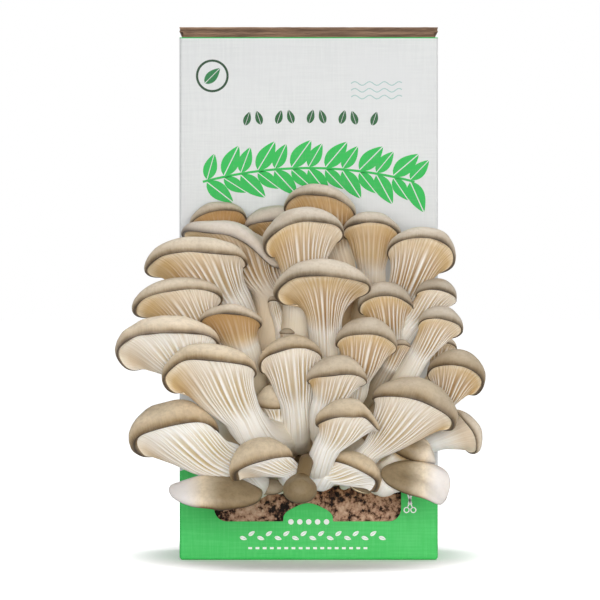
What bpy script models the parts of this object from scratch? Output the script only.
"""Oyster mushroom grow kit: a cardboard carton with a substrate block inside and a cluster of
oyster mushrooms that has grown out through the shaped window in its front.

Metres, +Z up. The origin is the centre of the carton's bottom face, and the front faces -Y.
"""
import math
from collections import namedtuple

import bmesh
import bpy
import numpy as np

# ---------------------------------------------------------------- driving dimensions

BOX_WIDTH = 0.122
BOX_DEPTH = 0.108
BOX_HEIGHT = 0.2515
BOARD = 0.0021              # thickness of the corrugated board
GAP = 0.0003                # kept between pieces that touch
FRONT = -BOX_DEPTH / 2      # y of the carton's front face

FOLD_RADIUS = 0.0016
FLAP_INSET = 0.0016         # the lower flap is this much narrower on each side
WALL_TOP = BOX_HEIGHT - 2 * BOARD - 2 * GAP

WINDOW_LEFT = -0.0446
WINDOW_RIGHT = 0.0436
WINDOW_BOTTOM = 0.0182
WINDOW_TOP = 0.0920
WINDOW_CORNER = 0.0060      # radius of the two bottom corners
WINDOW_ARCH = 0.0300        # radius of the two top corners
TAB_CENTRE = -0.0003        # the rounded tab left standing in the window's bottom edge
TAB_FOOT = 0.0118           # half its width at the foot
TAB_TOP = 0.0070            # half its width where its top starts to round
TAB_HEIGHT = 0.0086
TAB_FLARE = 5               # higher: the foot spreads out closer to the edge
TAB_ROUNDING = 0.6          # lower: the top is flatter

SUBSTRATE_HEIGHT = 0.180
SUBSTRATE_ROUNDING = 0.004

BASE_CENTRE = np.array([0.0, FRONT, 0.061])
BASE_RADII = np.array([0.036, 0.032, 0.027])
BASE_LUMPS = 0.03           # how far its surface swells, as a part of its radius
BASE_SIDES = 28
BASE_RINGS = 14

# The mushrooms are placed on a front view: a grid whose step is GRID at the carton's front face,
# with the carton's bottom centre at (GRID_X, GRID_Z) and Z running down, as read off a picture.
# The picture is taken from VIEW_DISTANCE, looking at (GRID_MIDDLE, GRID_MIDDLE).
GRID = 0.000472
GRID_X = 308.7
GRID_Z = 560.0
GRID_MIDDLE = 300.0
VIEW_DISTANCE = 2.5

RIM_CURL = 0.93             # the gills stop here, as a part of the cap's radius
WIDEST = 0.28               # where the cap is widest, as a part of its height
STEEPEST = 0.95             # the sine of the most that a rise may lean a cap back
JOINT_BACK = 0.15           # the stem meets the cap this far behind its centre
NECK_CLEAR = 0.014          # a neck stays at least this far in front of the carton
STEM_TAPER = 1.2            # higher: a stem stays slim for longer before it widens
ROUND_EDGE = 0.02           # keeps a root at the base's edge a little in front of its middle
ROOT_DEPTH = 0.004          # a stem is sunk this far into the base before it is cut to it

LARGE, MIDDLING = 40, 20    # half widths, on the grid, from which a mushroom has more sides
SIDES_OF_LARGE, SIDES_OF_MIDDLING, SIDES_OF_SMALL = 12, 10, 8
RINGS = 3                   # along the stem, out along the gills, and up over the cap

# One mushroom. cap: the rim's centre on the front view; half_width; rise: how high the near rim
# stands over the centre; crown: how much of the cap's top shows over the near rim; roll: degrees,
# anticlockwise; reach: mm that the cap's centre stands out from the carton; neck: where the gills
# end on the stem, and the stem's radius there; root: where the stem leaves the base, and its
# radius; then what differs from the usual shape.
Row = namedtuple("Row", "cap half_width rise crown roll reach neck root extra")

# What a mushroom has unless its row says otherwise. depth: the cap's front-to-back half size, as
# a part of its half width; far: how much of that it has behind its centre; flare and fall: how
# fast the gills spread and rise from the neck; crown_power: 2 is an ellipse; offset: how far the
# stem meets the cap off its centre, up to offset_limit; slope: degrees that the neck leans back;
# tilt: degrees that the cap leans back, where rise doesn't set it; height: of the cap's top, on
# the grid, where crown doesn't set it; bend: how far the stem's ends stay straight.
USUAL = dict(depth=0.66, far=0.75, flare=1.6, fall=1.5, crown_power=2.05, offset=0.5,
             offset_limit=0.6, slope=22.0, tilt=None, height=None, bend=0.35)

MUSHROOMS = [
    # the top of the cluster, back row first
    Row((219, 225), 29, 14, 9, 8, 13, (222, 252, 8), (270, 381, 6), {}),
    Row((277, 232), 32, 11, 16, 0, 12, (290, 262, 8), (290, 377, 7), {}),
    Row((319, 214), 37, 18, 10, -7, 26, (328, 250, 11), (312, 376, 8), dict(depth=0.75)),
    Row((304, 242), 41, 19, 16, 10, 52, (304, 288, 11), (296, 386, 8), dict(flare=1.3)),
    Row((371, 237), 30, 14, 11, -5, 36, (374, 270, 11.5), (334, 380, 8), {}),
    Row((421, 259), 35, 21, 10, -8, 47, (402, 296, 12.5), (352, 386, 8),
        dict(flare=1.5, offset=0.7, depth=0.85)),
    # the big one in the middle and those to its right
    Row((323, 293), 48, 17, 17, 3, 65, (325, 332, 14.5), (318, 396, 10), dict(flare=2.2)),
    Row((386, 310), 28, 13, 15, 0, 57, (388, 338, 10), (344, 393, 7), {}),
    Row((436, 300), 21, 10, 12, -8, 57, (414, 320, 7), (362, 396, 5), {}),
    Row((440, 331), 23, 12, 14, -8, 68, (418, 358, 7.5), (364, 412, 6),
        dict(flare=2.0, offset=0.9, offset_limit=0.75, depth=0.75)),
    Row((443, 352), 15, 8, 7, 0, 38, (436, 370, 5), (378, 408, 4), dict(depth=0.75)),
    Row((455, 382), 30, 16, 17, -12, 58, (444, 404, 9), (370, 427, 7), dict(depth=0.8)),
    Row((366, 348), 31, 13, 18, -3, 74, (358, 382, 11), (337, 405, 8), dict(flare=1.2)),
    Row((401, 351), 11, 5, 6, 0, 59, (387, 370, 6), (350, 411, 5), {}),
    # the middle, over the window
    Row((291, 364), 32, 15, 13, 6, 74, (297, 410, 13), (297, 412, 9), dict(flare=1.1)),
    Row((337, 384), 30, 9, 21, 0, 84, (325, 409, 9.5), (324, 412, 7), dict(flare=1.2)),
    Row((348, 427), 32, 9, 21, -6, 96, (326, 450, 9), (322, 436, 8), dict(flare=1.3)),
    Row((413, 416), 44, 16, 24, -20, 84, (370, 452, 10), (342, 432, 8),
        dict(flare=1.2, far=0.35, offset=0.7)),
    # the left side, bottom to top
    Row((210, 378), 48, 17, 17, 4, 91, (242, 420, 15), (262, 434, 10), dict(flare=1.3)),
    Row((167, 352), 52, 20, 16, 5, 74, (200, 378, 12), (240, 436, 8), {}),
    Row((178, 307), 45, 16, 13, 8, 58, (208, 334, 12), (246, 412, 8), {}),
    Row((196, 268), 52, 15, 16, 4, 48, (232, 298, 16), (262, 397, 8), {}),
    Row((234, 250), 56, 14, 13, -14, 30, (260, 280, 15), (278, 392, 8), dict(far=0.5)),
    Row((230, 326), 31, 12, 9, -3, 65, (243, 350, 11), (270, 411, 7), {}),
    Row((273, 304), 5, 2, 5, 0, 34, (278, 318, 4), (288, 398, 4), {}),
    Row((287, 335), 8, 2, 5, 0, 40, (287, 345, 3), (292, 404, 2), dict(tilt=-10.0)),
    Row((270, 402), 16, 4, 24, -5, 57, (274, 420, 6), (281, 438, 6), dict(tilt=5.0)),
    # the lowest ring, left to right
    Row((175, 442), 45, 19, 25, 6, 82, (224, 460, 14), (262, 456, 9), dict(flare=1.3)),
    Row((214, 498), 47, 4, 21, 6, 76, (238, 508, 7), (275, 477, 6),
        dict(tilt=4.0, crown_power=1.7, slope=75.0)),
    Row((262, 474), 33, 10, 26, 6, 92, (293, 474, 8), (284, 462, 7),
        dict(flare=1.2, offset=0.9, offset_limit=0.8, slope=10.0, far=0.6, bend=0.15)),
    Row((270, 492), 15, 3, 13, 10, 48, (279, 496, 5), (297, 480, 5), dict(tilt=5.0, slope=65.0)),
    Row((300, 491), 17, 4, 16, 0, 101, (302, 474, 6), (303, 456, 5.5),
        dict(tilt=-100.0, depth=0.88, height=11, far=1.0, slope=40.0)),
    Row((353, 476), 28, 8, 15, -22, 77, (329, 481, 8), (322, 463, 8),
        dict(flare=1.2, offset=0.9, offset_limit=0.8, slope=10.0, far=0.4)),
    Row((357, 490), 13, 3, 11, -10, 64, (348, 493, 4), (331, 475, 3.5), dict(tilt=5.0, slope=65.0)),
    Row((413, 456), 22, 4, 22, -12, 66, (395, 462, 8), (352, 448, 6), dict(tilt=8.0)),
    Row((418, 484), 34, 5, 24, -30, 78, (386, 490, 7), (354, 465, 6), dict(tilt=5.0)),
    Row((465, 434), 24, 10, 12, -50, 56, (440, 442, 8), (372, 446, 6), {}),
]

# ---------------------------------------------------------------- small helpers


def material(name, colour, roughness):
    """A plain Principled material."""
    result = bpy.data.materials.new(name)
    result.use_nodes = True
    shader = result.node_tree.nodes["Principled BSDF"]
    shader.inputs["Base Color"].default_value = (*colour, 1.0)
    shader.inputs["Roughness"].default_value = roughness
    result.diffuse_color = (*colour, 1.0)
    return result


def add_object(name, mesh, look):
    """Put a mesh into the scene under its node name."""
    obj = bpy.data.objects.new(name, mesh)
    bpy.context.scene.collection.objects.link(obj)
    mesh.materials.append(look)
    return obj


def mesh_from(name, points, faces):
    mesh = bpy.data.meshes.new(name)
    mesh.from_pydata([tuple(p) for p in points], [], faces)
    mesh.validate()
    return mesh


def slab(name, low, high, look, rounding=0.0, only_upright=False):
    """A box from low to high, with its edges rounded if asked."""
    bm = bmesh.new()
    bmesh.ops.create_cube(bm, size=1.0)
    for vert in bm.verts:
        for axis in range(3):
            middle = (low[axis] + high[axis]) / 2
            vert.co[axis] = middle + vert.co[axis] * (high[axis] - low[axis])
    if rounding:
        edges = list(bm.edges)
        if only_upright:
            edges = [e for e in edges if abs(e.verts[0].co.z - e.verts[1].co.z) > rounding]
        bmesh.ops.bevel(bm, geom=edges, offset=rounding, segments=2, profile=0.5,
                        affect="EDGES")
    mesh = bpy.data.meshes.new(name)
    bm.to_mesh(mesh)
    bm.free()
    return add_object(name, mesh, look)


def cut(target, cutter):
    """Take the cutter away from the target with a Boolean that stays on the object."""
    cutter.hide_render = True
    cutter.display_type = "WIRE"
    modifier = target.modifiers.new("cut", "BOOLEAN")
    modifier.operation = "DIFFERENCE"
    modifier.object = cutter


def arc(centre, radius, start, end, steps):
    """Points (x, z) along an arc, with angles in degrees."""
    angles = [math.radians(start + (end - start) * i / steps) for i in range(steps + 1)]
    return [(centre[0] + radius * math.cos(a), centre[1] + radius * math.sin(a)) for a in angles]


def unit(vector):
    return vector / np.linalg.norm(vector)


# ---------------------------------------------------------------- carton


def window_outline():
    """The cut-out, anticlockwise from its bottom left corner, with the tab in its bottom edge."""
    outline = arc((WINDOW_LEFT + WINDOW_CORNER, WINDOW_BOTTOM + WINDOW_CORNER),
                  WINDOW_CORNER, 180, 270, 4)
    tab_steps = 8
    for i in range(tab_steps + 1):
        turn = math.pi * i / tab_steps
        flat = TAB_TOP * math.cos(turn)
        bulge = (TAB_FOOT - TAB_TOP) * math.cos(turn) ** TAB_FLARE
        outline.append((TAB_CENTRE - flat - bulge,
                        WINDOW_BOTTOM + TAB_HEIGHT * math.sin(turn) ** TAB_ROUNDING))
    outline += arc((WINDOW_RIGHT - WINDOW_CORNER, WINDOW_BOTTOM + WINDOW_CORNER),
                   WINDOW_CORNER, 270, 360, 4)
    outline += arc((WINDOW_RIGHT - WINDOW_ARCH, WINDOW_TOP - WINDOW_ARCH), WINDOW_ARCH, 0, 90, 6)
    outline += arc((WINDOW_LEFT + WINDOW_ARCH, WINDOW_TOP - WINDOW_ARCH), WINDOW_ARCH, 90, 180, 6)
    return outline


def window_cutter(look):
    """The cut-out as a prism that runs through the front wall."""
    outline = window_outline()
    count = len(outline)
    near, far = FRONT - BOARD, FRONT + 2 * BOARD
    points = [(x, near, z) for x, z in outline] + [(x, far, z) for x, z in outline]
    faces = [tuple(range(count)), tuple(reversed(range(count, 2 * count)))]
    for i in range(count):
        j = (i + 1) % count
        faces.append((j, i, count + i, count + j))
    return add_object("window_cutter", mesh_from("window_cutter", points, faces), look)


def make_carton(board):
    """Four walls and a bottom, open at the top, with the window cut in the front wall."""
    half_width = BOX_WIDTH / 2
    half_depth = BOX_DEPTH / 2
    carton = slab("carton", (-half_width, -half_depth, 0), (half_width, half_depth, WALL_TOP),
                  board, FOLD_RADIUS, only_upright=True)
    inside = slab("inside_cutter",
                  (-half_width + BOARD, -half_depth + BOARD, BOARD),
                  (half_width - BOARD, half_depth - BOARD, WALL_TOP + BOARD), board)
    cut(carton, inside)
    cut(carton, window_cutter(board))
    lower = WALL_TOP + GAP
    upper = lower + BOARD + GAP
    inset = half_width - FLAP_INSET
    slab("lower_flap", (-inset, -half_depth, lower), (inset, half_depth - FLAP_INSET, lower + BOARD),
         board)
    slab("top_flap", (-half_width, -half_depth, upper), (half_width, half_depth, upper + BOARD),
         board)


# ---------------------------------------------------------------- substrate and cluster base


def make_substrate(look):
    """The block of colonised straw and sawdust that fills the carton's lower part."""
    half_width = BOX_WIDTH / 2 - BOARD - GAP
    half_depth = BOX_DEPTH / 2 - BOARD - GAP
    low = BOARD + GAP
    slab("substrate", (-half_width, -half_depth, low),
         (half_width, half_depth, SUBSTRATE_HEIGHT), look, SUBSTRATE_ROUNDING)


def base_points(grow):
    """Rings of the lumpy knot that the stems grow from, about the Y axis, front pole first."""
    points = []
    for i in range(1, BASE_RINGS):
        latitude = math.pi * i / BASE_RINGS
        for j in range(BASE_SIDES):
            turn = 2 * math.pi * j / BASE_SIDES
            way = np.array([math.sin(latitude) * math.cos(turn), -math.cos(latitude),
                            math.sin(latitude) * math.sin(turn)])
            lump = 1 + BASE_LUMPS * math.sin(3 * turn + 4 * latitude) * math.sin(latitude)
            points.append(BASE_CENTRE + way * (BASE_RADII * lump + grow))
    front = BASE_CENTRE - np.array([0, BASE_RADII[1] + grow, 0])
    back = BASE_CENTRE + np.array([0, BASE_RADII[1] + grow, 0])
    return points + [front, back]


def make_base(name, look, grow=0.0):
    """The knot, cut flat where it leaves the substrate's face."""
    faces = []
    for i in range(BASE_RINGS - 2):
        for j in range(BASE_SIDES):
            k = (j + 1) % BASE_SIDES
            lower, upper = i * BASE_SIDES, (i + 1) * BASE_SIDES
            faces.append((lower + j, lower + k, upper + k, upper + j))
    front = (BASE_RINGS - 1) * BASE_SIDES
    last = (BASE_RINGS - 2) * BASE_SIDES
    for j in range(BASE_SIDES):
        k = (j + 1) % BASE_SIDES
        faces.append((front, k, j))
        faces.append((front + 1, last + j, last + k))
    bm = bmesh.new()
    mesh = mesh_from(name, base_points(grow), faces)
    bm.from_mesh(mesh)
    whole = bm.verts[:] + bm.edges[:] + bm.faces[:]
    result = bmesh.ops.bisect_plane(bm, geom=whole, plane_co=(0, FRONT + BOARD, 0),
                                    plane_no=(0, 1, 0), clear_outer=True)
    rim = [g for g in result["geom_cut"] if isinstance(g, bmesh.types.BMEdge)]
    bmesh.ops.holes_fill(bm, edges=rim)
    bmesh.ops.recalc_face_normals(bm, faces=bm.faces[:])
    bm.to_mesh(mesh)
    bm.free()
    return add_object(name, mesh, look)


# ---------------------------------------------------------------- mushrooms


def place(gx, gz, reach):
    """A spot on the front view, at a distance in front of the carton, in metres."""
    nearer = 1 - reach / VIEW_DISTANCE
    x = (GRID_MIDDLE + (gx - GRID_MIDDLE) * nearer - GRID_X) * GRID
    z = (GRID_Z - GRID_MIDDLE - (gz - GRID_MIDDLE) * nearer) * GRID
    return np.array([x, FRONT - reach, z])


def cap_axes(tilt, roll):
    """Across the cap, towards its near rim, and out of its top."""
    tilt, roll = math.radians(tilt), math.radians(roll)
    turn = np.array([[math.cos(roll), 0, -math.sin(roll)], [0, 1, 0],
                     [math.sin(roll), 0, math.cos(roll)]])
    across = turn @ np.array([1.0, 0, 0])
    near = turn @ np.array([0, -math.cos(tilt), math.sin(tilt)])
    top = turn @ np.array([0, math.sin(tilt), math.cos(tilt)])
    return across, near, top


def on_base(gx, gz):
    """The point of the base's front surface at a spot of the front view, and its normal."""
    x, z = (gx - GRID_X) * GRID, (GRID_Z - gz) * GRID
    dx, dz = (x - BASE_CENTRE[0]) / BASE_RADII[0], (z - BASE_CENTRE[2]) / BASE_RADII[2]
    depth = math.sqrt(max(ROUND_EDGE, 1 - dx * dx - dz * dz))
    point = np.array([x, BASE_CENTRE[1] - BASE_RADII[1] * depth, z])
    return point, unit((point - BASE_CENTRE) / BASE_RADII ** 2)


def form(row):
    """Work out a mushroom's real lines from its row."""
    shape = {**USUAL, **row.extra}
    reach = row.reach * 0.001
    step = GRID * (1 - reach / VIEW_DISTANCE)
    width = row.half_width * step
    depth = shape["depth"] * width
    tilt = shape["tilt"]
    if tilt is None:
        tilt = math.degrees(math.asin(min(STEEPEST, row.rise * step / depth)))
    sink = depth * abs(math.sin(math.radians(tilt)))
    crown = row.crown * step
    if shape["height"]:
        height = shape["height"] * step
    else:
        height = math.sqrt((sink + crown) ** 2 - sink ** 2) / math.cos(math.radians(tilt))
    across, near, top = cap_axes(tilt, row.roll)
    centre = place(*row.cap, reach)

    # the stem meets the cap off its centre, on the side that the neck is on
    neck = place(*row.neck[:2], reach)
    side = shape["offset"] * (neck - centre)
    joint = np.array([side @ across / width, side @ near / depth - JOINT_BACK])
    joint *= min(1.0, shape["offset_limit"] / np.hypot(*joint))
    meet = centre + joint[0] * width * across + joint[1] * depth * near
    run = math.hypot(neck[0] - meet[0], neck[2] - meet[2])
    neck[1] = min(meet[1] + run * math.tan(math.radians(shape["slope"])), FRONT - NECK_CLEAR)
    root, leave = on_base(*row.root[:2])
    shape.update(across=across, near=near, top=top, centre=centre, width=width, depth=depth,
                 height=height, joint=joint, meet=meet, neck=neck, root=root, leave=leave,
                 neck_radius=row.neck[2] * step, root_radius=row.root[2] * GRID,
                 axis=unit(meet - neck), drop=np.linalg.norm(meet - neck))
    return shape


def bezier(ends, t):
    """A point and a direction on the cubic through four control points."""
    a, b, c, d = ends
    u = 1 - t
    point = u ** 3 * a + 3 * u * u * t * b + 3 * u * t * t * c + t ** 3 * d
    way = u * u * (b - a) + 2 * u * t * (c - b) + t * t * (d - c)
    return point, unit(way)


def stem_rings(f, turn, count):
    """Round rings from inside the base up to the neck."""
    length = np.linalg.norm(f["neck"] - f["root"]) * f["bend"]
    ends = (f["root"], f["root"] + f["leave"] * length, f["neck"] - f["axis"] * length, f["neck"])
    rings = []
    for i in range(-1, count):
        t = max(0.0, i / count)
        point, way = bezier(ends, t)
        if i < 0:
            point = point - f["leave"] * ROOT_DEPTH
        e1 = unit(f["across"] - (f["across"] @ way) * way)
        e2 = np.cross(e1, way)
        radius = f["root_radius"] + (f["neck_radius"] - f["root_radius"]) * t ** STEM_TAPER
        rings.append(point + radius * (np.outer(np.cos(turn), e1) + np.outer(np.sin(turn), e2)))
    return rings


def gill_rings(f, turn, count):
    """Rings from the neck out to just inside the rim: the gills run down onto the stem."""
    e1 = unit(f["across"] - (f["across"] @ f["axis"]) * f["axis"])
    e2 = np.cross(e1, f["axis"])
    cos, sin = np.cos(turn), np.sin(turn)
    back = np.where(sin > 0, sin, f["far"] * sin)
    rings = []
    for i in range(count + 1):
        s = i / count
        out = s ** f["flare"]
        ease = s * s * (3 - 2 * s)
        x_way = unit((1 - ease) * e1 + ease * f["across"])
        y_way = unit((1 - ease) * e2 + ease * f["near"])
        middle = f["meet"] - f["drop"] * (1 - s) ** f["fall"] * f["axis"]
        rim_x = f["width"] * (RIM_CURL * cos - f["joint"][0])
        rim_y = f["depth"] * (RIM_CURL * back - f["joint"][1])
        x = (1 - out) * f["neck_radius"] * cos + out * rim_x
        y = (1 - out) * f["neck_radius"] * sin + out * rim_y
        rings.append(middle + np.outer(x, x_way) + np.outer(y, y_way))
    return rings


def cap_rings(f, turn, count):
    """Rings over the margin and up the cap's rounded top."""
    cos, sin = np.cos(turn), np.sin(turn)
    back = np.where(sin > 0, sin, f["far"] * sin)
    widest = WIDEST * f["height"]
    power = 2 / f["crown_power"]
    profile = []
    for i in range(count):
        angle = math.radians(90 * i / count)
        profile.append((math.cos(angle) ** power,
                        widest + (f["height"] - widest) * math.sin(angle) ** power))
    rings = []
    for out, up in profile:
        rings.append(f["centre"] + np.outer(out * f["width"] * cos, f["across"])
                     + np.outer(out * f["depth"] * back, f["near"]) + up * f["top"])
    return rings


def ring_faces(ring_count, sides):
    """Quads between neighbouring rings and a fan at each end, around two extra points."""
    faces = []
    for i in range(ring_count - 1):
        for j in range(sides):
            k = (j + 1) % sides
            lower, upper = i * sides, (i + 1) * sides
            faces.append((lower + j, upper + j, upper + k, lower + k))
    start, end = ring_count * sides, ring_count * sides + 1
    last = (ring_count - 1) * sides
    for j in range(sides):
        k = (j + 1) % sides
        faces.append((start, j, k))
        faces.append((end, last + k, last + j))
    return faces


def make_mushroom(name, row, look, base_cutter):
    """Cap, gills and stem, grown as one piece, cut to the base it grows from."""
    f = form(row)
    sides = SIDES_OF_LARGE
    if row.half_width < LARGE:
        sides = SIDES_OF_MIDDLING if row.half_width >= MIDDLING else SIDES_OF_SMALL
    turn = np.arange(sides) / sides * 2 * math.pi
    rings = stem_rings(f, turn, RINGS) + gill_rings(f, turn, RINGS) + cap_rings(f, turn, RINGS)
    points = np.vstack(rings + [rings[0].mean(axis=0), f["centre"] + f["height"] * f["top"]])
    mesh = mesh_from(name, points, ring_faces(len(rings), sides))
    bm = bmesh.new()
    bm.from_mesh(mesh)
    bmesh.ops.triangulate(bm, faces=bm.faces[:])
    bm.to_mesh(mesh)
    bm.free()
    mesh.shade_smooth()
    cut(add_object(name, mesh, look), base_cutter)


# ---------------------------------------------------------------- the whole kit


def main():
    for obj in list(bpy.data.objects):
        bpy.data.objects.remove(obj, do_unlink=True)
    board = material("board", (0.78, 0.80, 0.80), 0.75)
    crumbs = material("crumbs", (0.50, 0.34, 0.27), 0.95)
    mycelium = material("mycelium", (0.62, 0.54, 0.42), 0.85)
    flesh = material("flesh", (0.72, 0.66, 0.56), 0.6)
    make_carton(board)
    make_substrate(crumbs)
    make_base("cluster_base", mycelium)
    base_cutter = make_base("base_cutter", mycelium, grow=GAP)
    for number, row in enumerate(MUSHROOMS, start=1):
        make_mushroom(f"mushroom_{number:02d}", row, flesh, base_cutter)


main()
